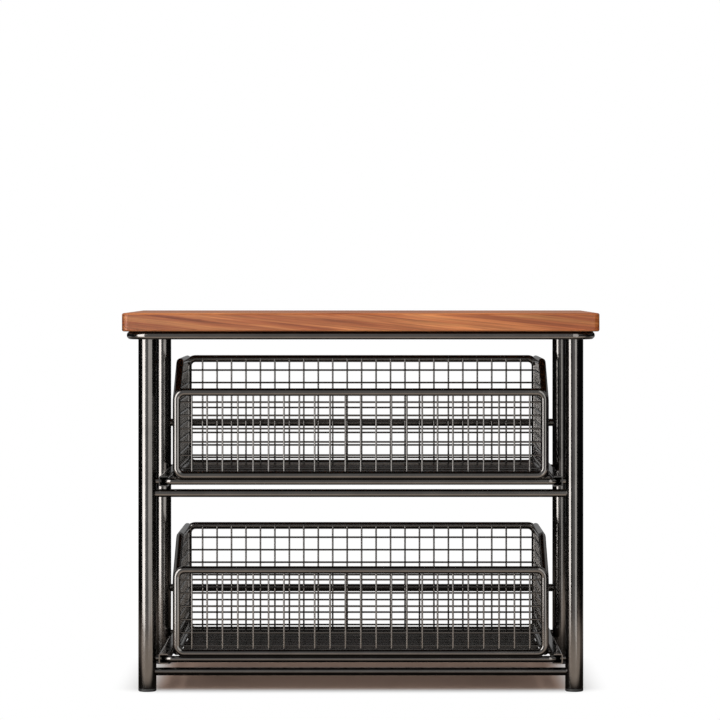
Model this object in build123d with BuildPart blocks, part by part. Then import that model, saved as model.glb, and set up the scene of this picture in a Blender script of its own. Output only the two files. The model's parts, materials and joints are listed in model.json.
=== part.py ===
import os

from build123d import *

# Countertop organizer: a wooden top on four tube legs, with two wire baskets that pull out to the front.
# All sizes are in millimetres. X runs to the right, Y to the back and Z up. The front faces -Y.
# The origin is on the ground, in the middle of the footprint.

# Top board
board_width = 498.0
board_depth = 300.0
board_thickness = 19.2
board_corner_radius = 7.0
board_edge_radius = 2.0

# Rod ring under the board, with a plate welded into each corner
frame_rod = 8.4
frame_inset = 3.5
frame_bend = 20.0
plate_thickness = 3.0
plate_reach = 28.0
plate_corner = 10.0

# Legs and feet
leg_diameter = 19.0
leg_wall = 1.5
leg_inset_x = 25.2
leg_inset_y = 26.0
foot_height = 3.0
foot_stem = 10.0
foot_chamfer = 0.8

# Fasteners between the legs, the ring and the board
insert_length = 16.0
bolt_diameter = 6.0
bolt_length = 14.0
bolt_head_diameter = 11.0
bolt_head_height = 3.0
bolt_socket = 4.0
bolt_socket_depth = 1.8
pocket_margin = 1.5
screw_diameter = 4.0
screw_bite = 13.0
screw_head_diameter = 8.0
screw_head_height = 2.4
screw_slot_width = 1.2
screw_slot_depth = 1.2
screw_offset = 19.0

# Crossbars
crossbar_rod = 8.4
crossbar_floor_gap = 16.3
crossbar_rail_gap = 4.5
upper_bar_lift = 1.2
rear_bar_rise = 43.9

# Rails: channels that lie on their sides and open inwards, held off the legs by the rivets' collars
rail_standoff = 3.0
rail_depth = 9.3
rail_wall = 1.2
rail_bend_radius = 2.0
rail_overhang = 5.5
rivet_diameter = 3.0
rivet_collar_diameter = 6.5
rivet_head_height = 1.0
rivet_tail_diameter = 4.5
rivet_tail_length = 3.0

# Runner rod that carries each basket in its rails
runner_rod = 7.0
runner_bend = 8.0
runner_setback = 3.5
runner_travel = 170.0
runner_play_below = 0.5
runner_play_above = 0.9
runner_play_side = 0.6
stud_diameter = 4.0
bearer_rod = 5.4
bearer_count = 3

# Basket frames
basket_rod = 7.8
basket_side_gap = 5.0
front_ring_inset = 0.8
basket_setback = 14.0
basket_rear_gap = 26.9
front_height = 86.9
rear_height = 116.4
rim_tuck = 9.0
rim_knee = 72.0
end_ring_bend = 8.0
side_ring_bend = 8.0
knee_bend = 16.0
bay_gap = 40.7
headroom = 21.6

# Wire mesh
mesh_wire = 2.0
mesh_pitch_x = 16.08
mesh_pitch_y = 16.08
mesh_pitch_z = 13.87
mesh_first_row = 6.7

# Clearances
weld_gap = 0.1
fit_gap = 0.1
running_gap = 0.3

# Heights, from the ground up
crossbar_level = crossbar_floor_gap + crossbar_rod / 2
rail_bottom = crossbar_level + crossbar_rod / 2 + crossbar_rail_gap
rail_height = 2 * rail_wall + runner_play_below + runner_rod + runner_play_above
rivet_head_diameter = rail_height - 2 * rail_bend_radius - 2 * fit_gap
runner_level = rail_bottom + rail_wall + runner_play_below + runner_rod / 2
runner_weld = runner_rod / 2 + 2 * weld_gap + basket_rod / 2
lower_base = runner_level + (runner_weld**2 - runner_setback**2) ** 0.5
tier_pitch = rear_height + basket_rod / 2 + bay_gap + lower_base - crossbar_floor_gap
rim_top = lower_base + tier_pitch + rear_height + basket_rod / 2
frame_level = rim_top + headroom + frame_rod / 2
board_bottom = frame_level + frame_rod / 2
leg_top = board_bottom - plate_thickness
tiers = (("upper", tier_pitch, upper_bar_lift), ("lower", 0.0, 0.0))

# Places across the width
leg_x = board_width / 2 - leg_inset_x
leg_inner_x = leg_x - leg_diameter / 2
rail_outer_x = leg_inner_x - rail_standoff
rail_inner_x = rail_outer_x - rail_depth
web_inner_x = rail_outer_x - rail_wall
runner_x = web_inner_x - rivet_head_height - runner_play_side - runner_rod / 2
side_ring_x = rail_inner_x - basket_side_gap - basket_rod / 2
front_ring_x = side_ring_x - front_ring_inset
mesh_half_width = side_ring_x - basket_rod / 2 - 2 * weld_gap

# Places along the depth
leg_y = board_depth / 2 - leg_inset_y
rail_front_y = -leg_y - leg_diameter / 2
rail_rear_y = leg_y + rail_overhang
front_ring_y = -board_depth / 2 + basket_setback
rear_ring_y = leg_y - crossbar_rod / 2 - basket_rear_gap - basket_rod / 2
runner_front_y = front_ring_y + runner_setback
runner_rear_y = rail_rear_y - rail_wall - running_gap - runner_rod / 2
stud_y = -leg_y + rivet_head_diameter / 2 + runner_travel + running_gap + stud_diameter / 2
bearer_pitch = (rear_ring_y - front_ring_y) / bearer_count

# Places of the legs and of what repeats on them
leg_places = [(x, y) for x in (-leg_x, leg_x) for y in (-leg_y, leg_y)]
screw_x = leg_x - screw_offset
screw_y = leg_y - screw_offset
screw_places = [(x, y) for x in (-screw_x, screw_x) for y in (-screw_y, screw_y)]
pocket_radius = bolt_head_diameter / 2 + pocket_margin
pocket_depth = bolt_head_height + pocket_margin
bore_radius = leg_diameter / 2 - leg_wall

os.makedirs("parts", exist_ok=True)

# Top board, with pockets over the bolt heads and pilot holes for the screws
with BuildPart() as top_board:
    with BuildSketch(Plane.XY.offset(board_bottom)):
        RectangleRounded(board_width, board_depth, board_corner_radius)
    extrude(amount=board_thickness)
    fillet(top_board.faces().sort_by(Axis.Z)[-1].edges(), board_edge_radius)
    fillet(top_board.faces().sort_by(Axis.Z)[0].edges(), board_edge_radius)
    with BuildSketch(Plane.XY.offset(board_bottom)):
        with Locations(*leg_places):
            Circle(pocket_radius)
    extrude(amount=pocket_depth, mode=Mode.SUBTRACT)
    with BuildSketch(Plane.XY.offset(board_bottom)):
        with Locations(*screw_places):
            Circle(screw_diameter / 2 + fit_gap)
    extrude(amount=screw_bite + fit_gap, mode=Mode.SUBTRACT)
top_board.part.label = "top_board"
export_step(top_board.part, "parts/top_board.step")

# Top frame: a bent rod ring with a drilled plate in each corner
ring_x = board_width / 2 - frame_inset - frame_rod / 2
ring_y = board_depth / 2 - frame_inset - frame_rod / 2
plate_inner_x = leg_x - plate_reach
plate_inner_y = leg_y - plate_reach
with BuildPart() as top_frame:
    with BuildLine(Plane.XY.offset(frame_level)) as ring_path:
        FilletPolyline(
            (-ring_x, -ring_y), (ring_x, -ring_y), (ring_x, ring_y), (-ring_x, ring_y),
            radius=frame_bend, close=True,
        )
    with BuildSketch(Plane(origin=ring_path.line @ 0, z_dir=ring_path.line % 0)):
        Circle(frame_rod / 2)
    sweep()
    with BuildSketch(Plane.XY.offset(leg_top)):
        with BuildLine():
            Polyline(
                (plate_inner_x + plate_corner, plate_inner_y), (ring_x, plate_inner_y), (ring_x, ring_y),
                (plate_inner_x, ring_y), (plate_inner_x, plate_inner_y + plate_corner), close=True,
            )
        plate = make_face()
        fillet(plate.vertices().group_by(Axis.X)[-1].sort_by(Axis.Y)[-1], frame_bend)
        mirror(about=Plane.YZ)
        mirror(about=Plane.XZ)
    extrude(amount=plate_thickness)
    with BuildSketch(Plane.XY.offset(leg_top)):
        with Locations(*leg_places):
            Circle(bolt_diameter / 2 + fit_gap)
        with Locations(*screw_places):
            Circle(screw_diameter / 2 + fit_gap)
    extrude(amount=plate_thickness, mode=Mode.SUBTRACT)
top_frame.part.label = "top_frame"
export_step(top_frame.part, "parts/top_frame.step")

# Legs: tubes with a hole for each crossbar end and each rail rivet in the inner wall
front_bar_levels = [crossbar_level + rise + lift for _, rise, lift in tiers]
rear_bar_levels = [lower_base + rear_bar_rise + rise for _, rise, _ in tiers]
rivet_levels = [rail_bottom + rail_height / 2 + rise for _, rise, _ in tiers]
for end, end_sign, bar_levels in (("front", -1, front_bar_levels), ("rear", 1, rear_bar_levels)):
    for side, side_sign in (("left", -1), ("right", 1)):
        leg_axis = (side_sign * leg_x, end_sign * leg_y)
        with BuildPart() as leg:
            with BuildSketch(Plane.XY.offset(foot_height)):
                with Locations(leg_axis):
                    Circle(leg_diameter / 2)
                    Circle(bore_radius, mode=Mode.SUBTRACT)
            extrude(amount=leg_top - foot_height)
            with BuildSketch(Plane((*leg_axis, 0), x_dir=(0, -side_sign, 0), z_dir=(-side_sign, 0, 0))):
                with Locations(*[(0, level) for level in bar_levels]):
                    Circle(crossbar_rod / 2 + fit_gap)
                with Locations(*[(0, level) for level in rivet_levels]):
                    Circle(rivet_diameter / 2 + fit_gap)
            extrude(amount=leg_diameter, mode=Mode.SUBTRACT)
        leg.part.label = f"leg_{end}_{side}"
        export_step(leg.part, f"parts/leg_{end}_{side}.step")

        # Foot: a plastic cap with a stem in the leg
        with BuildPart() as foot:
            with BuildSketch():
                with Locations(leg_axis):
                    Circle(leg_diameter / 2)
            extrude(amount=foot_height)
            chamfer(foot.edges().group_by(Axis.Z)[0], foot_chamfer)
            with BuildSketch(Plane.XY.offset(foot_height)):
                with Locations(leg_axis):
                    Circle(bore_radius - fit_gap)
            extrude(amount=foot_stem)
        foot.part.label = f"foot_{end}_{side}"
        export_step(foot.part, f"parts/foot_{end}_{side}.step")

# Threaded plugs, flush with the leg tops
with BuildPart() as leg_inserts:
    with BuildSketch(Plane.XY.offset(leg_top)):
        with Locations(*leg_places):
            Circle(bore_radius - fit_gap)
            Circle(bolt_diameter / 2 + fit_gap, mode=Mode.SUBTRACT)
    extrude(amount=-insert_length)
leg_inserts.part.label = "leg_inserts"
export_step(leg_inserts.part, "parts/leg_inserts.step")

# Leg bolts: round heads with a hexagon socket, on top of the plates
with BuildPart() as leg_bolts:
    with BuildSketch(Plane.XY.offset(board_bottom)):
        with Locations(*leg_places):
            Circle(bolt_diameter / 2)
    extrude(amount=-bolt_length)
    with BuildSketch(Plane.XY.offset(board_bottom)):
        with Locations(*leg_places):
            Circle(bolt_head_diameter / 2)
    extrude(amount=bolt_head_height)
    with BuildSketch(Plane.XY.offset(board_bottom + bolt_head_height)):
        with Locations(*leg_places):
            RegularPolygon(bolt_socket / 2, 6, major_radius=False)
    extrude(amount=-bolt_socket_depth, mode=Mode.SUBTRACT)
leg_bolts.part.label = "leg_bolts"
export_step(leg_bolts.part, "parts/leg_bolts.step")

# Board screws: slotted heads under the plates, shanks up into the board
with BuildPart() as board_screws:
    with BuildSketch(Plane.XY.offset(leg_top)):
        with Locations(*screw_places):
            Circle(screw_diameter / 2)
    extrude(amount=plate_thickness + screw_bite)
    with BuildSketch(Plane.XY.offset(leg_top)):
        with Locations(*screw_places):
            Circle(screw_head_diameter / 2)
    extrude(amount=-screw_head_height)
    with BuildSketch(Plane.XY.offset(leg_top - screw_head_height)):
        with Locations(*screw_places):
            Rectangle(screw_head_diameter, screw_slot_width)
    extrude(amount=screw_slot_depth, mode=Mode.SUBTRACT)
board_screws.part.label = "board_screws"
export_step(board_screws.part, "parts/board_screws.step")

# Rail rivets: heads in the channels, collars against the legs, shanks through the leg walls, tails in the legs
tail_start_x = leg_x - (bore_radius**2 - (rivet_tail_diameter / 2) ** 2) ** 0.5
with BuildPart() as rail_rivets:
    rivet_places = [(y, level) for y in (-leg_y, leg_y) for level in rivet_levels]
    with BuildSketch(Plane.YZ.offset(rail_outer_x)):
        with Locations(*rivet_places):
            Circle(rivet_collar_diameter / 2)
    extrude(amount=leg_x - rail_outer_x)
    with BuildSketch():
        with Locations((leg_x, -leg_y), (leg_x, leg_y)):
            Circle(leg_diameter / 2 + fit_gap)
    extrude(amount=leg_top, mode=Mode.SUBTRACT)
    with BuildSketch(Plane.YZ.offset(web_inner_x)):
        with Locations(*rivet_places):
            Circle(rivet_head_diameter / 2)
    extrude(amount=-rivet_head_height)
    with BuildSketch(Plane.YZ.offset(web_inner_x)):
        with Locations(*rivet_places):
            Circle(rivet_diameter / 2)
    extrude(amount=tail_start_x - web_inner_x)
    with BuildSketch(Plane.YZ.offset(tail_start_x)):
        with Locations(*rivet_places):
            Circle(rivet_tail_diameter / 2)
    extrude(amount=rivet_tail_length)
    mirror(about=Plane.YZ)
rail_rivets.part.label = "rail_rivets"
export_step(rail_rivets.part, "parts/rail_rivets.step")

# What repeats on each tier: crossbars, rails and a basket
for tier, rise, lift in tiers:
    bars = (("front", -leg_y, crossbar_level + rise + lift), ("rear", leg_y, lower_base + rear_bar_rise + rise))
    for end, bar_y, bar_level in bars:
        # Crossbar: a straight rod with its ends in the leg walls
        with BuildPart() as crossbar:
            with BuildSketch(Plane.YZ):
                with Locations((bar_y, bar_level)):
                    Circle(crossbar_rod / 2)
            extrude(amount=leg_x, both=True)
        crossbar.part.label = f"{end}_crossbar_{tier}"
        export_step(crossbar.part, f"parts/{end}_crossbar_{tier}.step")

    # Rail: a rounded channel with a tab across its rear end, riveted to the legs
    rail_mid = rail_bottom + rail_height / 2 + rise
    for side, side_sign in (("left", -1), ("right", 1)):
        rail_mid_x = (rail_outer_x + rail_inner_x) / 2 * side_sign
        with BuildPart() as rail:
            with BuildSketch(Plane.XZ.offset(-rail_rear_y)) as section:
                with Locations((rail_mid_x, rail_mid)):
                    Rectangle(rail_depth, rail_height)
                web_corners = section.vertices().group_by(Axis.X)[-1 if side_sign > 0 else 0]
                fillet(web_corners, rail_bend_radius)
            extrude(amount=rail_rear_y - rail_front_y)
            with BuildSketch(Plane.XZ.offset(rail_wall - rail_rear_y)) as hollow:
                with Locations((rail_mid_x - rail_wall * side_sign, rail_mid)):
                    Rectangle(rail_depth, rail_height - 2 * rail_wall)
                web_corners = hollow.vertices().group_by(Axis.X)[-1 if side_sign > 0 else 0]
                fillet(web_corners, rail_bend_radius - rail_wall)
            extrude(amount=rail_rear_y - rail_front_y, mode=Mode.SUBTRACT)
            with BuildSketch(Plane.YZ.offset(web_inner_x * side_sign)):
                with Locations((-leg_y, rail_mid), (leg_y, rail_mid)):
                    Circle(rivet_diameter / 2 + fit_gap)
            extrude(amount=rail_wall * side_sign, mode=Mode.SUBTRACT)
        rail.part.label = f"rail_{tier}_{side}"
        export_step(rail.part, f"parts/rail_{tier}_{side}.step")

    # End rings of the basket: rounded rectangles of bent rod, the rear one taller
    base = lower_base + rise
    for end, ring_plane_y, end_ring_x, ring_height in (
        ("front", front_ring_y, front_ring_x, front_height),
        ("rear", rear_ring_y, side_ring_x, rear_height),
    ):
        with BuildPart() as end_ring:
            with BuildLine(Plane.XZ.offset(-ring_plane_y)) as ring_path:
                FilletPolyline(
                    (-end_ring_x, base), (end_ring_x, base),
                    (end_ring_x, base + ring_height), (-end_ring_x, base + ring_height),
                    radius=end_ring_bend, close=True,
                )
            with BuildSketch(Plane(origin=ring_path.line @ 0, z_dir=ring_path.line % 0)):
                Circle(basket_rod / 2)
            sweep()
        end_ring.part.label = f"{tier}_basket_{end}_frame"
        export_step(end_ring.part, f"parts/{tier}_basket_{end}_frame.step")

        # Mesh inside the ring: upright wires and rows in one plane, behind the rods
        rows = int((ring_height - mesh_first_row - basket_rod / 2) / mesh_pitch_z) + 1
        columns = 2 * int((mesh_half_width - mesh_wire / 2) / mesh_pitch_x) + 1
        inward = 1 if end == "front" else -1
        with BuildPart() as end_mesh:
            with BuildSketch(Plane.XZ.offset(-ring_plane_y - inward * (basket_rod / 2 + weld_gap))):
                with Locations((0, base + ring_height / 2)):
                    with GridLocations(mesh_pitch_x, 1, columns, 1):
                        Rectangle(mesh_wire, ring_height)
                with Locations(*[(0, base + mesh_first_row + row * mesh_pitch_z) for row in range(rows)]):
                    Rectangle(2 * mesh_half_width, mesh_wire)
            extrude(amount=-inward * mesh_wire)
        end_mesh.part.label = f"{tier}_basket_{end}_mesh"
        export_step(end_mesh.part, f"parts/{tier}_basket_{end}_mesh.step")

    # Side rings, whose level top slopes down to the front, and the side meshes in their planes
    side_front_y = front_ring_y + basket_rod + weld_gap
    side_rear_y = rear_ring_y - basket_rod - weld_gap
    knee_y = front_ring_y + rim_knee
    side_points = (
        (side_front_y, base), (side_rear_y, base), (side_rear_y, base + rear_height),
        (knee_y, base + rear_height), (side_front_y, base + front_height - rim_tuck),
    )
    side_bends = (side_ring_bend, side_ring_bend, side_ring_bend, knee_bend, side_ring_bend)
    side_rows = int((rear_height - mesh_first_row - basket_rod / 2) / mesh_pitch_z) + 1
    side_columns = 2 * int((side_rear_y - side_front_y) / 2 / mesh_pitch_y) + 1
    side_mid_y = (side_front_y + side_rear_y) / 2
    for side, side_sign in (("left", -1), ("right", 1)):
        with BuildPart() as side_ring:
            with BuildLine(Plane.YZ.offset(side_sign * side_ring_x)) as ring_path:
                FilletPolyline(*side_points, radius=side_bends, close=True)
            with BuildSketch(Plane(origin=ring_path.line @ 0, z_dir=ring_path.line % 0)):
                Circle(basket_rod / 2)
            sweep()
        side_ring.part.label = f"{tier}_basket_{side}_frame"
        export_step(side_ring.part, f"parts/{tier}_basket_{side}_frame.step")

        with BuildPart() as side_mesh:
            with BuildSketch(Plane.YZ.offset(side_sign * (side_ring_x + mesh_wire / 2))):
                with Locations((side_mid_y, base + rear_height / 2)):
                    with GridLocations(mesh_pitch_y, 1, side_columns, 1):
                        Rectangle(mesh_wire, rear_height)
                row_levels = [base + mesh_first_row + row * mesh_pitch_z for row in range(side_rows)]
                with Locations(*[(side_mid_y, level) for level in row_levels]):
                    Rectangle(side_rear_y - side_front_y, mesh_wire)
                with BuildLine():
                    FilletPolyline(*side_points, radius=side_bends, close=True)
                    offset(amount=-basket_rod / 2 - weld_gap)
                make_face(mode=Mode.INTERSECT)
            extrude(amount=-side_sign * mesh_wire)
        side_mesh.part.label = f"{tier}_basket_{side}_mesh"
        export_step(side_mesh.part, f"parts/{tier}_basket_{side}_mesh.step")

    # Floor mesh, which lies on the bearers between the bottom rods
    floor_bottom = base - basket_rod / 2
    floor_front_y = runner_front_y + runner_rod / 2 + weld_gap
    floor_rear_y = rear_ring_y - basket_rod / 2 - weld_gap
    floor_depth = floor_rear_y - floor_front_y
    floor_rows = 2 * int((floor_depth - mesh_wire) / 2 / mesh_pitch_y) + 1
    with BuildPart() as floor_mesh:
        with BuildSketch(Plane.XY.offset(floor_bottom)):
            with Locations((0, (floor_front_y + floor_rear_y) / 2)):
                with GridLocations(mesh_pitch_x, 1, columns, 1):
                    Rectangle(mesh_wire, floor_depth)
                with GridLocations(1, mesh_pitch_y, 1, floor_rows):
                    Rectangle(2 * mesh_half_width, mesh_wire)
        extrude(amount=mesh_wire)
    floor_mesh.part.label = f"{tier}_basket_floor_mesh"
    export_step(floor_mesh.part, f"parts/{tier}_basket_floor_mesh.step")

    # Runner: a closed ring of bent rod in the rails, with a stop stud on each side
    with BuildPart() as runner:
        with BuildLine(Plane.XY.offset(runner_level + rise)) as runner_path:
            FilletPolyline(
                (-runner_x, runner_front_y), (runner_x, runner_front_y),
                (runner_x, runner_rear_y), (-runner_x, runner_rear_y),
                radius=runner_bend, close=True,
            )
        with BuildSketch(Plane(origin=runner_path.line @ 0, z_dir=runner_path.line % 0)):
            Circle(runner_rod / 2)
        sweep()
        with BuildSketch(Plane.YZ.offset(runner_x)):
            with Locations((stud_y, runner_level + rise)):
                Circle(stud_diameter / 2)
        extrude(amount=web_inner_x - running_gap - runner_x)
        with BuildSketch(Plane.YZ.offset(-runner_x)):
            with Locations((stud_y, runner_level + rise)):
                Circle(stud_diameter / 2)
        extrude(amount=runner_x - web_inner_x + running_gap)
    runner.part.label = f"{tier}_basket_runner"
    export_step(runner.part, f"parts/{tier}_basket_runner.step")

    # Bearers: straight rods across the runner, under the floor and the rear ring
    with BuildPart() as bearers:
        with BuildSketch(Plane.YZ):
            bearer_ys = [front_ring_y + bearer_pitch * (count + 1) for count in range(bearer_count)]
            with Locations(*[(y, runner_level + rise) for y in bearer_ys]):
                Circle(bearer_rod / 2)
        extrude(amount=runner_x - runner_rod / 2 - weld_gap, both=True)
    bearers.part.label = f"{tier}_basket_bearers"
    export_step(bearers.part, f"parts/{tier}_basket_bearers.step")

print(f"overall height {board_bottom + board_thickness:.1f}, tier pitch {tier_pitch:.1f}")
print(f"basket {2 * (side_ring_x + basket_rod / 2):.1f} wide, {rear_ring_y - front_ring_y:.1f} deep")
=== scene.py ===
import json
from math import radians

import bpy
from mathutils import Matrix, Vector


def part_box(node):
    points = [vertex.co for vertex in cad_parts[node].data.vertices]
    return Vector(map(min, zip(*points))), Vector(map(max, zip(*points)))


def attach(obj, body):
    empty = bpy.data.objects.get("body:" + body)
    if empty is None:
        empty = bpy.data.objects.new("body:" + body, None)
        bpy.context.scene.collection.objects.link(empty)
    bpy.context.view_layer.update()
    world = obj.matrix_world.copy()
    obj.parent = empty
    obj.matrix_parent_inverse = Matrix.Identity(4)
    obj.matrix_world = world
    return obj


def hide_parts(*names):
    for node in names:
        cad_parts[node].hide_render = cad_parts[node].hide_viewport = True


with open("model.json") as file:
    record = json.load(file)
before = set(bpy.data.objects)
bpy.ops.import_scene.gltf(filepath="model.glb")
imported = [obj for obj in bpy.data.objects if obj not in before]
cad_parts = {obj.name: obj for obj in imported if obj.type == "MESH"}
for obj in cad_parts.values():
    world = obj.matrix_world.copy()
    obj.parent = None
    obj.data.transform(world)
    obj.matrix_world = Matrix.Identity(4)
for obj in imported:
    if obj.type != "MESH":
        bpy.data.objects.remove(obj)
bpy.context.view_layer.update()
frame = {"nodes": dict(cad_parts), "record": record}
cadNodes = frame["nodes"]
scene = bpy.context.scene
scene.view_settings.view_transform = "Standard"


# camera: level and straight on, a little above the top board, with its lens shifted down
cameraSettings = {
    "place": (0.0152, -3.55, 0.4314),
    "lens": 163.35,
    "sensor": 36.0,
    "shift": (-0.02125, -0.1117),
    "farEnd": 50,
}


def placeCamera(settings):
    bpy.ops.object.select_all(action="DESELECT")
    bpy.ops.object.camera_add(location=settings["place"], rotation=(radians(90), 0, 0))
    camera = bpy.context.object
    camera.name = "frontCamera"
    camera.data.sensor_width = settings["sensor"]
    camera.data.lens = settings["lens"]
    camera.data.shift_x, camera.data.shift_y = settings["shift"]
    camera.data.clip_end = settings["farEnd"]
    scene.camera = camera
    print("camera placed")


placeCamera(cameraSettings)


# lamps: a bright box on the left, a long dim wall of light on the right, soft fills in front and overhead
lampSettings = {
    "leftBox": {
        "place": (-0.71, -0.66, 0.36), "target": (0.0, 0.0, 0.30), "size": (0.48, 1.1), "power": 11.8,
        "tint": (1.0, 0.985, 0.97), "rays": "glossy",
    },
    "rightWall": {
        "place": (0.45, -1.5, 0.42), "target": (-0.55, -1.564, 0.42), "size": (2.2, 1.1), "power": 15.0,
        "tint": (1.0, 0.985, 0.96), "rays": "glossy",
    },
    "frontTop": {
        "place": (0.0, -1.35, 1.95), "target": (0.0, 0.0, 0.22), "size": (1.8, 0.9), "power": 3.6,
        "tint": (1.0, 1.0, 1.0), "rays": "matt",
    },
    "frontFill": {
        "place": (-0.45, -1.7, 0.35), "target": (0.0, 0.0, 0.30), "size": (1.4, 1.0), "power": 19.0,
        "tint": (1.0, 0.99, 0.97), "rays": "matt",
    },
    "overhead": {
        "place": (0.0, -0.1, 2.2), "target": (0.0, 0.0, 0.22), "size": (1.6, 1.2), "power": 28.0,
        "tint": (1.0, 0.99, 0.97), "rays": "matt",
    },
}


def hangLamp(name, settings):
    bpy.ops.object.select_all(action="DESELECT")
    bpy.ops.object.light_add(type="AREA", location=settings["place"])
    lamp = bpy.context.object
    lamp.name = name
    aim = Vector(settings["target"]) - Vector(settings["place"])
    lamp.rotation_euler = aim.to_track_quat("-Z", "Y").to_euler()
    lamp.data.shape = "RECTANGLE"
    lamp.data.size, lamp.data.size_y = settings["size"]
    lamp.data.energy = settings["power"]
    lamp.data.color = settings["tint"]
    lamp.visible_camera = False
    # some lamps are there only for the rods' reflections, some only for wood and floor
    lamp.visible_glossy = settings["rays"] != "matt"
    lamp.visible_diffuse = settings["rays"] != "glossy"


for lampName, lampValues in lampSettings.items():
    hangLamp(lampName, lampValues)
print("lamps hung:", len(lampSettings))


# shader nodes
mixSockets = {"RGBA": (6, 7, 2), "VECTOR": (4, 5, 1)}  # a Mix node's two inputs and its output


def addNode(tree, kind, **values):
    node = tree.nodes.new(kind)
    for key, value in values.items():
        if key in node.inputs:
            node.inputs[key].default_value = value
        else:
            setattr(node, key, value)
    return node


def plug(tree, source, socket):
    # a node stands for its first output, and a number or a tuple is a fixed value
    if isinstance(source, (int, float, tuple)):
        socket.default_value = source
    elif isinstance(source, bpy.types.NodeSocket):
        tree.links.new(source, socket)
    else:
        tree.links.new(source.outputs[0], socket)


def rangeOf(tree, source, low, high, fromLow=0.0, fromHigh=1.0, soft=False):
    node = addNode(tree, "ShaderNodeMapRange", interpolation_type="SMOOTHSTEP" if soft else "LINEAR")
    node.inputs["From Min"].default_value = fromLow
    node.inputs["From Max"].default_value = fromHigh
    node.inputs["To Min"].default_value = low
    node.inputs["To Max"].default_value = high
    plug(tree, source, node.inputs["Value"])
    return node


def mathOf(tree, operation, *sources, kind="ShaderNodeMath"):
    node = addNode(tree, kind, operation=operation)
    for socket, source in zip(node.inputs, sources):
        plug(tree, source, socket)
    return node


def mixOf(tree, dataType, share, first, second):
    node = addNode(tree, "ShaderNodeMix", data_type=dataType)
    firstInput, secondInput, output = mixSockets[dataType]
    plug(tree, share, node.inputs[0])
    plug(tree, first, node.inputs[firstInput])
    plug(tree, second, node.inputs[secondInput])
    return node.outputs[output]


def mixShaders(tree, share, first, second):
    node = addNode(tree, "ShaderNodeMixShader")
    for socket, source in zip(node.inputs, (share, first, second)):
        plug(tree, source, socket)
    return node


def splitPlace(tree, source):
    node = addNode(tree, "ShaderNodeSeparateXYZ")
    plug(tree, source, node.inputs[0])
    return node.outputs


# world: a light room in front of the rack, boxes of light high up beside and behind it,
# a pale floor far around, and white where the camera sees it
worldSettings = {
    "front": 0.50,  # strength of the light part in front
    "edge": (0.50, 0.80),  # how far up and down it reaches
    "window": (0.60, 0.32),  # and how far to the sides
    "high": 0.55,  # strength of the boxes high up
    "highFrom": (0.20, 0.42),  # the heights at which they begin
    "highTo": (0.95, 0.75),  # and at which they end
    "beside": (0.30, 0.60),  # how far to the sides they stand
    "rear": (0.15, 0.45),  # and how far to the back
    "low": 0.60,  # strength of the pale floor far around
    "lowFrom": (-0.14, -0.24),  # how far down it begins
    "corners": (0.15, 0.42),  # how close to the four corners it is brightest
    "sides": 0.15,  # what is left of it away from them
    "back": 0.010,  # what the rest of the room gives
    "backdrop": (0.955, 0.98),  # how close to straight behind the white backdrop lies
    "mirrored": 0.25,  # how much of it shows in reflections
}


def makeWorld(settings):
    world = bpy.data.worlds.new("studioRoom")
    world.use_nodes = True
    scene.world = world
    tree = world.node_tree
    tree.nodes.clear()
    light = addNode(tree, "ShaderNodeLightPath")
    place = addNode(tree, "ShaderNodeTexCoord")
    acrossWay, depthWay, upWay = splitPlace(tree, place.outputs["Generated"])
    across = mathOf(tree, "ABSOLUTE", acrossWay)
    # in front
    near, far = settings["edge"]
    ahead = rangeOf(tree, depthWay, 0, settings["front"], -near, -far, soft=True)
    window = rangeOf(tree, across, 0, 1, *settings["window"], soft=True)
    front = mathOf(tree, "MULTIPLY", ahead, window)
    # high up, beside and behind
    rise = rangeOf(tree, upWay, 0, settings["high"], *settings["highFrom"], soft=True)
    crown = rangeOf(tree, upWay, 0, 1, *settings["highTo"], soft=True)
    beside = rangeOf(tree, across, 0, 1, *settings["beside"], soft=True)
    rear = rangeOf(tree, depthWay, 0, 1, *settings["rear"], soft=True)
    around = mathOf(tree, "MAXIMUM", beside, rear)
    high = mathOf(tree, "MULTIPLY", mathOf(tree, "MULTIPLY", rise, crown), around)
    # low down, for the rods alone, so that it does not light the underside of the board
    fall = rangeOf(tree, upWay, 0, settings["low"], *settings["lowFrom"], soft=True)
    diagonal = mathOf(tree, "ABSOLUTE", mathOf(tree, "MULTIPLY", acrossWay, depthWay))
    corners = rangeOf(tree, diagonal, settings["sides"], 1, *settings["corners"], soft=True)
    rods = rangeOf(tree, light.outputs["Is Diffuse Ray"], 1, 0)
    low = mathOf(tree, "MULTIPLY", mathOf(tree, "MULTIPLY", fall, corners), rods)
    level = mathOf(tree, "MAXIMUM", mathOf(tree, "MAXIMUM", front, high), low)
    room = addNode(tree, "ShaderNodeBackground", Color=(1, 1, 1, 1))
    plug(tree, mathOf(tree, "ADD", level, settings["back"]), room.inputs["Strength"])
    # white to the camera, and straight behind the rack to its reflections too
    white = addNode(tree, "ShaderNodeBackground", Color=(1, 1, 1, 1), Strength=1.0)
    behind = rangeOf(tree, depthWay, 0, settings["mirrored"], *settings["backdrop"])
    glossy = mathOf(tree, "MULTIPLY", light.outputs["Is Glossy Ray"], behind)
    seen = mathOf(tree, "MAXIMUM", light.outputs["Is Camera Ray"], light.outputs["Is Transmission Ray"])
    mix = mixShaders(tree, mathOf(tree, "MAXIMUM", seen, glossy), room, white)
    out = addNode(tree, "ShaderNodeOutputWorld")
    plug(tree, mix, out.inputs["Surface"])
    print("world made")


makeWorld(worldSettings)


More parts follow.
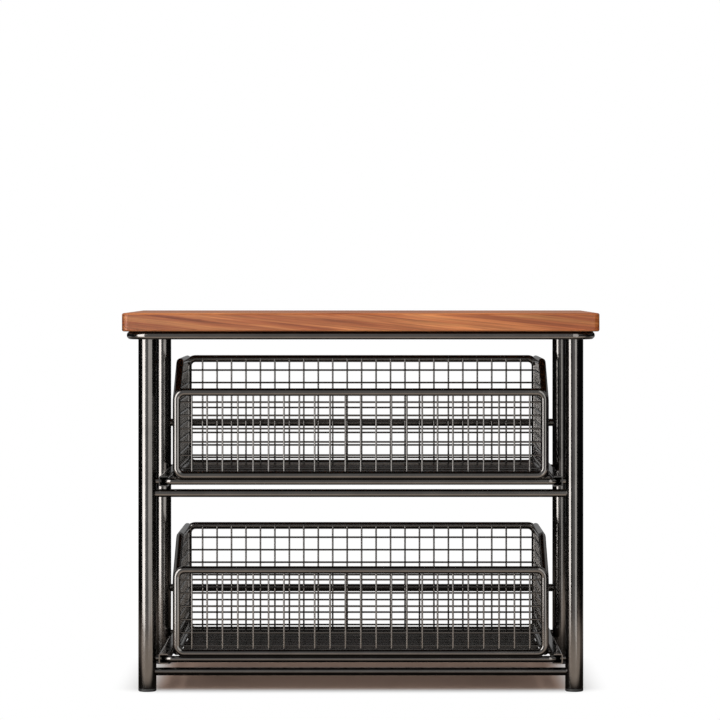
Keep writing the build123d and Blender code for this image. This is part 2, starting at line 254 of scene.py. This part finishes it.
# floor: a painted shadow, dark close beneath the rack, pale and then white away from it
floorSettings = {
    "middle": (0.0, 0.10, 0.0),
    "size": (1.7, 1.5, 1.0),
    # painted shadow: the floor's colour beneath the rack
    "under": (0.58, 0.41, 0.33, 1),
    "around": (0.88, 0.87, 0.86, 1),
    "foot": (0.205, 0.125, 1.0),  # half the dark part, the painted shadow
    "footMiddle": (0.0, 0.030, 0.0),
    "edge": (0.0, 0.035),  # where the painted shadow turns pale, outside it
    "fade": (0.0, 0.06),  # where the pale part turns white for the camera
    "wedge": (0.35, 0.2),  # how far to the sides the floor's painted glow behind the rack shows in reflections
    "wedgeShare": 0.25,  # and how strong that painted glow is
    "wedgeFrom": 0.001,  # the depth at which it begins
    "ahead": (-0.17, -0.24),  # from where the floor's painted glow in front of the rack shows in reflections
    "aheadShare": 1.2,
    "beside": (0.42, 0.60),  # the same painted glow to the left and right
    "besideShare": 0.28,
    "dusk": 0.03,  # the painted glow that the rest of the floor gives to reflections
    "tint": (1.0, 0.86, 0.74, 1),  # colour of the floor's painted glow in reflections
}


def floorFinish(name, settings):
    finish = bpy.data.materials.new(name)
    finish.use_nodes = True
    tree = finish.node_tree
    tree.nodes.clear()
    light = addNode(tree, "ShaderNodeLightPath")
    place = addNode(tree, "ShaderNodeTexCoord").outputs["Object"]
    # distance from the rack's footprint
    vectors = "ShaderNodeVectorMath"
    centred = mathOf(tree, "SUBTRACT", place, settings["footMiddle"], kind=vectors)
    mirrored = mathOf(tree, "ABSOLUTE", centred, kind=vectors)
    beyond = mathOf(tree, "SUBTRACT", mirrored, settings["foot"], kind=vectors)
    outside = mathOf(tree, "MAXIMUM", beyond, (0, 0, 0), kind=vectors)
    reach = mathOf(tree, "LENGTH", outside, kind=vectors).outputs["Value"]
    # what the camera and the light see
    # painted shadow: the floor's colour is darkened close beneath the rack and fades to the pale floor
    edge = rangeOf(tree, reach, 0, 1, *settings["edge"], soft=True)
    matt = addNode(tree, "ShaderNodeBsdfDiffuse")
    plug(tree, mixOf(tree, "RGBA", edge, settings["under"], settings["around"]), matt.inputs["Color"])
    white = addNode(tree, "ShaderNodeEmission", Color=(1, 1, 1, 1), Strength=1.0)
    fade = rangeOf(tree, reach, 0, 1, *settings["fade"], soft=True)
    clear = mathOf(tree, "MAXIMUM", light.outputs["Is Camera Ray"], light.outputs["Is Transmission Ray"])
    direct = mixShaders(tree, mathOf(tree, "MULTIPLY", fade, clear), matt, white)
    # what shows in reflections: a painted glow of the floor behind the rack, in front of it and beside it
    acrossWay, depthWay = splitPlace(tree, place)[:2]
    aside = mathOf(tree, "ABSOLUTE", acrossWay)
    slant = mathOf(tree, "DIVIDE", aside, mathOf(tree, "MAXIMUM", depthWay, settings["wedgeFrom"]))
    wedge = rangeOf(tree, slant, 0, settings["wedgeShare"], *settings["wedge"])
    ahead = rangeOf(tree, depthWay, 0, settings["aheadShare"], *settings["ahead"])
    beside = rangeOf(tree, aside, 0, settings["besideShare"], *settings["beside"])
    bright = mathOf(tree, "MAXIMUM", mathOf(tree, "MAXIMUM", wedge, ahead), beside)
    # painted reflection: the floor glows, tinted, for glossy rays only
    paintedFloorGlow = addNode(tree, "ShaderNodeEmission", Color=settings["tint"])
    plug(tree, mathOf(tree, "MULTIPLY_ADD", bright, fade, settings["dusk"]), paintedFloorGlow.inputs["Strength"])
    upper = mixShaders(tree, light.outputs["Is Glossy Ray"], direct, paintedFloorGlow)
    # the floor has no underside, so that the rack can be seen from below
    side = addNode(tree, "ShaderNodeNewGeometry")
    nothing = addNode(tree, "ShaderNodeBsdfTransparent")
    out = addNode(tree, "ShaderNodeOutputMaterial")
    plug(tree, mixShaders(tree, side.outputs["Backfacing"], upper, nothing), out.inputs["Surface"])
    return finish


def layFloor(settings):
    bpy.ops.object.select_all(action="DESELECT")
    bpy.ops.mesh.primitive_plane_add(size=1, location=settings["middle"])
    floor = bpy.context.object
    floor.name = "paleFloor"
    floor.scale = settings["size"]
    bpy.ops.object.transform_apply(location=True, rotation=True, scale=True)
    floor.data.materials.append(floorFinish("paleFloor", settings))
    print("floor laid")


layFloor(floorSettings)


# what the finishes share
def startFinish(name):
    finish = bpy.data.materials.new(name)
    finish.use_nodes = True
    tree = finish.node_tree
    tree.nodes.clear()
    shader = addNode(tree, "ShaderNodeBsdfPrincipled")
    out = addNode(tree, "ShaderNodeOutputMaterial")
    plug(tree, shader, out.inputs["Surface"])
    place = addNode(tree, "ShaderNodeTexCoord").outputs["Object"]
    return finish, tree, shader, place


def stretched(tree, source, size, turn=(0, 0, 0), shift=(0, 0, 0)):
    mapping = addNode(tree, "ShaderNodeMapping", vector_type="TEXTURE")
    mapping.inputs["Scale"].default_value = size
    mapping.inputs["Rotation"].default_value = turn
    mapping.inputs["Location"].default_value = shift
    plug(tree, source, mapping.inputs["Vector"])
    return mapping


def noiseOf(tree, source, **values):
    node = addNode(tree, "ShaderNodeTexNoise", **values)
    plug(tree, source, node.inputs["Vector"])
    return node.outputs["Fac"]


def ramp(tree, source, stops):
    node = addNode(tree, "ShaderNodeValToRGB")
    band = node.color_ramp
    while len(band.elements) < len(stops):
        band.elements.new(0.5)
    for element, (place, colour) in zip(band.elements, stops):
        element.position = place
        element.color = colour
    plug(tree, source, node.inputs[0])
    return node


def roughen(tree, shader, source, strength, depth):
    bump = addNode(tree, "ShaderNodeBump", Strength=strength, Distance=depth)
    plug(tree, source, bump.inputs["Height"])
    plug(tree, bump, shader.inputs["Normal"])


# black nickel on rods, tubes and wires
gunmetalSettings = {
    "dark": (0.120, 0.114, 0.109, 1),
    "light": (0.148, 0.141, 0.135, 1),
    "cloudScale": 35.0,
    "cloudSpread": (0.3, 0.7),
    "roughness": (0.12, 0.17),
    "peel": 0.003,  # how strongly the lacquer waves
    "peelScale": 300.0,
    "peelDepth": 0.0005,
}


def gunmetalFinish(name, settings):
    finish, tree, shader, place = startFinish(name)
    shader.inputs["Metallic"].default_value = 1.0
    first, last = settings["cloudSpread"]
    cloud = noiseOf(tree, place, Scale=settings["cloudScale"], Detail=4.0, Roughness=0.6)
    tone = ramp(tree, cloud, [(first, settings["dark"]), (last, settings["light"])])
    plug(tree, tone, shader.inputs["Base Color"])
    plug(tree, rangeOf(tree, cloud, *settings["roughness"], first, last), shader.inputs["Roughness"])
    peel = noiseOf(tree, place, Scale=settings["peelScale"], Detail=1.0)
    roughen(tree, shader, peel, settings["peel"], settings["peelDepth"])
    return finish


# lacquered wood of the board; sizes of the grain run along, across and through the board
woodSettings = {
    "deep": (0.215, 0.045, 0.013, 1),
    "mid": (0.375, 0.102, 0.028, 1),
    "pale": (0.540, 0.196, 0.057, 1),
    "slant": 6.0,  # degrees, how far the grain falls towards the right on the front edge
    "skew": 1.5,  # degrees, how far it turns on the top
    "faceBand": (0.0018, 0.0006),  # how close to the top and the underside it turns from one to the other
    "figure": (0.24, 0.015, 0.0052),  # broad bands
    "figureShift": (0.13, 0.07, 0.02),
    "figureStops": (0.28, 0.45, 0.62, 0.80),
    "fibre": (0.09, 0.0024, 0.0017),  # fine lines
    "fibreTone": (0.62, 1.20),
    "fibreSpread": (0.34, 0.66),
    "heart": (0.30, 0.10, 0.09),  # slow change of tone from place to place
    "heartShift": (-0.22, 0.05, 0.01),
    "heartTone": (0.80, 1.10),
    "heartSpread": (0.36, 0.64),
    "pore": (0.105, 0.025, 0.010, 1),
    "pores": (0.028, 0.0015, 0.0013),
    "poreShare": 0.7,  # how dark the darkest pores are
    "poreSpread": (0.66, 0.75),
    "underside": 0.30,  # painted shade: how dark the underside is painted against the rest
    "undersideBand": (0.0004, 0.0014),  # how close to the underside that painted shade begins
    "roughness": (0.50, 0.36),
    "roughnessSpread": (0.35, 0.66),
    "relief": 0.10,  # how strongly the fine lines stand out
    "reliefDepth": 0.0005,
    "specular": 0.25,
    "coat": 0.12,
    "coatRoughness": 0.16,
}


def woodFinish(name, settings):
    finish, tree, shader, place = startFinish(name)
    # the grain slants on the edges of the board and runs straight along its top and its underside
    low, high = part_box("top_board")
    half = (high.z - low.z) / 2
    height = mathOf(tree, "SUBTRACT", splitPlace(tree, place)["Z"], (low.z + high.z) / 2)
    begin, end = settings["faceBand"]
    flat = rangeOf(tree, mathOf(tree, "ABSOLUTE", height), 0, 1, half - begin, half - end, soft=True)
    edges = stretched(tree, place, (1, 1, 1), turn=(0, radians(settings["slant"]), 0))
    faces = stretched(tree, place, (1, 1, 1), turn=(0, 0, radians(settings["skew"])))
    grainPlace = mixOf(tree, "VECTOR", flat, edges, faces)
    # broad bands
    figureMap = stretched(tree, grainPlace, settings["figure"], shift=settings["figureShift"])
    figure = noiseOf(tree, figureMap, Scale=1.0, Detail=5.0, Roughness=0.56, Distortion=0.5)
    tones = [settings[key] for key in ("deep", "mid", "pale", "mid")]
    tone = ramp(tree, figure, list(zip(settings["figureStops"], tones)))
    # fine lines, slow change of tone, and a painted shade that darkens the underside
    fibreMap = stretched(tree, grainPlace, settings["fibre"])
    fibre = noiseOf(tree, fibreMap, Scale=1.0, Detail=4.0, Roughness=0.6)
    lines = rangeOf(tree, fibre, *settings["fibreTone"], *settings["fibreSpread"])
    heartMap = stretched(tree, grainPlace, settings["heart"], shift=settings["heartShift"])
    heart = noiseOf(tree, heartMap, Scale=1.0, Detail=1.0)
    slow = rangeOf(tree, heart, *settings["heartTone"], *settings["heartSpread"])
    begin, end = settings["undersideBand"]
    # painted shade: the wood's colour darkens towards the underside
    paintedUndersideShade = rangeOf(tree, height, settings["underside"], 1, begin - half, end - half, soft=True)
    grain = mathOf(tree, "MULTIPLY", mathOf(tree, "MULTIPLY", lines, slow), paintedUndersideShade)
    shade = mathOf(tree, "SCALE", tone, kind="ShaderNodeVectorMath")
    plug(tree, grain, shade.inputs["Scale"])
    # short dark pores
    poreMap = stretched(tree, grainPlace, settings["pores"])
    pore = noiseOf(tree, poreMap, Scale=1.0, Detail=2.0)
    pores = rangeOf(tree, pore, 0.0, settings["poreShare"], *settings["poreSpread"])
    plug(tree, mixOf(tree, "RGBA", pores, shade, settings["pore"]), shader.inputs["Base Color"])
    gloss = rangeOf(tree, fibre, *settings["roughness"], *settings["roughnessSpread"])
    plug(tree, gloss, shader.inputs["Roughness"])
    roughen(tree, shader, fibre, settings["relief"], settings["reliefDepth"])
    shader.inputs["Specular IOR Level"].default_value = settings["specular"]
    shader.inputs["Coat Weight"].default_value = settings["coat"]
    shader.inputs["Coat Roughness"].default_value = settings["coatRoughness"]
    return finish


# matt plastic of the feet
footSettings = {
    "colour": (0.018, 0.018, 0.018, 1),
    "worn": (0.035, 0.034, 0.033, 1),
    "grainScale": 420.0,
    "grainSpread": (0.4, 0.75),
    "roughness": (0.5, 0.65),
    "relief": 0.25,
    "reliefDepth": 0.0003,
}


def footFinish(name, settings):
    finish, tree, shader, place = startFinish(name)
    first, last = settings["grainSpread"]
    grain = noiseOf(tree, place, Scale=settings["grainScale"], Detail=3.0)
    tone = ramp(tree, grain, [(first, settings["colour"]), (last, settings["worn"])])
    plug(tree, tone, shader.inputs["Base Color"])
    plug(tree, rangeOf(tree, grain, *settings["roughness"]), shader.inputs["Roughness"])
    roughen(tree, shader, grain, settings["relief"], settings["reliefDepth"])
    return finish


# zinc on the fasteners
zincSettings = {
    "dark": (0.36, 0.36, 0.37, 1),
    "light": (0.56, 0.56, 0.57, 1),
    "cloudScale": 260.0,
    "cloudSpread": (0.35, 0.65),
    "roughness": (0.28, 0.42),
}


def zincFinish(name, settings):
    finish, tree, shader, place = startFinish(name)
    shader.inputs["Metallic"].default_value = 1.0
    first, last = settings["cloudSpread"]
    cloud = noiseOf(tree, place, Scale=settings["cloudScale"], Detail=4.0)
    tone = ramp(tree, cloud, [(first, settings["dark"]), (last, settings["light"])])
    plug(tree, tone, shader.inputs["Base Color"])
    plug(tree, rangeOf(tree, cloud, *settings["roughness"]), shader.inputs["Roughness"])
    return finish


finishes = {
    "wood_top": woodFinish("lacqueredWood", woodSettings),
    "gunmetal_steel": gunmetalFinish("blackNickelRod", gunmetalSettings),
    "mesh_wire": gunmetalFinish("blackNickelWire", gunmetalSettings),
    "foot_plastic": footFinish("footPlastic", footSettings),
    "fastener_steel": zincFinish("zincFastener", zincSettings),
}
slotOf = {row["node"]: row["material_slot"] for row in frame["record"]["subparts"]}
for nodeName, nodeObject in cadNodes.items():
    nodeObject.material_slots[0].material = finishes[slotOf[nodeName]]
print("finishes given:", len(finishes))


# wire meshes: round wires, the uprights pressed into the rows behind them
wireSettings = {
    "diameter": 0.002,
    "sides": 10,
    "press": 0.0005,  # how far crossing wires sink into each other at the weld
    "pitchAcross": 0.01608,
    "pitchUp": 0.01387,
    "firstRow": 0.0067,
    "lastRow": 0.0035,  # least space over the last row of a front or rear mesh
    "rimCorner": 0.0779,  # height of the front end of the sloping rim over the bottom rod
    "rimKnee": 0.0641,  # depth at which the rim turns level
    "rimRod": 0.0040,  # from a ring rod's middle to the ends of the wires inside the ring
    "weld": 0.0012,  # how far the wire ends sink into the ring
    "smooth": 50,  # degrees, edges below this are shaded round
}


def pick(*pieces):
    bpy.ops.object.select_all(action="DESELECT")
    for piece in pieces:
        piece.select_set(True)
    bpy.context.view_layer.objects.active = pieces[0]


def straightWires(name, start, run, step, count, settings):
    bpy.ops.object.select_all(action="DESELECT")
    turn = Vector(run).to_track_quat("Z", "Y").to_euler()
    radius = settings["diameter"] / 2
    bpy.ops.mesh.primitive_circle_add(
        vertices=settings["sides"], radius=radius, fill_type="NGON", location=start, rotation=turn)
    wire = bpy.context.object
    wire.name = name
    bpy.ops.object.transform_apply(location=True, rotation=True, scale=True)
    bpy.ops.object.mode_set(mode="EDIT")
    bpy.ops.mesh.select_all(action="SELECT")
    bpy.ops.mesh.extrude_region_move(TRANSFORM_OT_translate={"value": run})
    bpy.ops.mesh.select_all(action="SELECT")
    bpy.ops.mesh.normals_make_consistent(inside=False)
    bpy.ops.object.mode_set(mode="OBJECT")
    array = wire.modifiers.new("row", "ARRAY")
    array.count = count
    array.use_relative_offset = False
    array.use_constant_offset = True
    array.constant_offset_displace = step
    bpy.ops.object.modifier_apply(modifier=array.name)
    return wire


def cutWires(wires, point, outward):
    pick(wires)
    bpy.ops.object.mode_set(mode="EDIT")
    bpy.ops.mesh.select_all(action="SELECT")
    bpy.ops.mesh.bisect(plane_co=point, plane_no=outward, use_fill=True, clear_outer=True)
    bpy.ops.object.mode_set(mode="OBJECT")


def joinPieces(name, parts):
    pick(*parts)
    bpy.ops.object.join()
    piece = bpy.context.object
    piece.name = name
    return piece


def finishPiece(piece, body, slot, *nodes):
    pick(piece)
    bpy.ops.object.shade_smooth_by_angle(angle=radians(wireSettings["smooth"]))
    piece.data.materials.clear()
    piece.data.materials.append(finishes[slot])
    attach(piece, body)
    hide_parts(*nodes)


def endMesh(tier, end, settings):
    node = f"{tier}_basket_{end}_mesh"
    low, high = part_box(node)
    radius = settings["diameter"] / 2
    pitch, rise, firstRow = settings["pitchAcross"], settings["pitchUp"], settings["firstRow"]
    inward = 1 if end == "front" else -1
    face = low.y if end == "front" else high.y
    uprightY = face + inward * radius
    rowY = uprightY + inward * (settings["diameter"] - settings["press"])
    columns = 2 * int((high.x - radius) / pitch) + 1
    rows = int((high.z - low.z - firstRow - settings["lastRow"]) / rise) + 1
    firstX = -pitch * (columns - 1) / 2
    uprights = straightWires(
        "uprights", (firstX, uprightY, low.z), (0, 0, high.z - low.z), (pitch, 0, 0), columns, settings)
    across = straightWires(
        "across", (low.x, rowY, low.z + firstRow), (high.x - low.x, 0, 0), (0, 0, rise), rows, settings)
    piece = joinPieces(f"{tier}{end.title()}Wires", [uprights, across])
    finishPiece(piece, f"{tier}_basket", "mesh_wire", node)


def sideMesh(tier, side, settings):
    node = f"{tier}_basket_{side}_mesh"
    low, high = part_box(node)
    pitch, rise, firstRow = settings["pitchAcross"], settings["pitchUp"], settings["firstRow"]
    rod, weld = settings["rimRod"], settings["weld"]
    inward = 1 if side == "left" else -1
    uprightX = (low.x + high.x) / 2
    rowX = uprightX + inward * (settings["diameter"] - settings["press"])
    middle = (low.y + high.y) / 2
    depth = high.y - low.y + 2 * weld
    height = high.z - low.z + 2 * weld
    columns = 2 * int((depth / 2 + rod) / pitch) + 1
    rows = int((height - firstRow) / rise) + 1
    firstY = middle - pitch * (columns - 1) / 2
    firstZ = low.z - rod + firstRow
    uprights = straightWires(
        "uprights", (uprightX, firstY, low.z - weld), (0, 0, height), (0, pitch, 0), columns, settings)
    along = straightWires(
        "along", (rowX, low.y - weld, firstZ), (0, depth, 0), (0, 0, rise), rows, settings)
    # the wires end along the sloping front part of the rim; crossing wires are cut before they are joined,
    # so that each end is closed by itself
    corner = Vector((0, low.y - rod, low.z - rod + settings["rimCorner"]))
    knee = Vector((0, low.y - rod + settings["rimKnee"], high.z + rod))
    slope = (knee - corner).normalized()
    outward = Vector((0, -slope.z, slope.y))
    for wires in (uprights, along):
        cutWires(wires, corner - outward * (rod - weld), outward)
    piece = joinPieces(f"{tier}{side.title()}Wires", [uprights, along])
    finishPiece(piece, f"{tier}_basket", "mesh_wire", node)


def floorMesh(tier, settings):
    node = f"{tier}_basket_floor_mesh"
    low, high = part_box(node)
    radius = settings["diameter"] / 2
    pitch = settings["pitchAcross"]
    underZ = low.z + radius
    overZ = underZ + settings["diameter"] - settings["press"]
    middle = (low.y + high.y) / 2
    columns = 2 * int((high.x - radius) / pitch) + 1
    rows = 2 * int((high.y - low.y - settings["diameter"]) / 2 / pitch) + 1
    firstX = -pitch * (columns - 1) / 2
    firstY = middle - pitch * (rows - 1) / 2
    along = straightWires(
        "along", (firstX, low.y, underZ), (0, high.y - low.y, 0), (pitch, 0, 0), columns, settings)
    across = straightWires(
        "across", (low.x, firstY, overZ), (high.x - low.x, 0, 0), (0, pitch, 0), rows, settings)
    piece = joinPieces(f"{tier}FloorWires", [along, across])
    finishPiece(piece, f"{tier}_basket", "mesh_wire", node)


for tierName in ("upper", "lower"):
    for endName in ("front", "rear"):
        endMesh(tierName, endName, wireSettings)
    for sideName in ("left", "right"):
        sideMesh(tierName, sideName, wireSettings)
    floorMesh(tierName, wireSettings)
print("wire meshes woven")
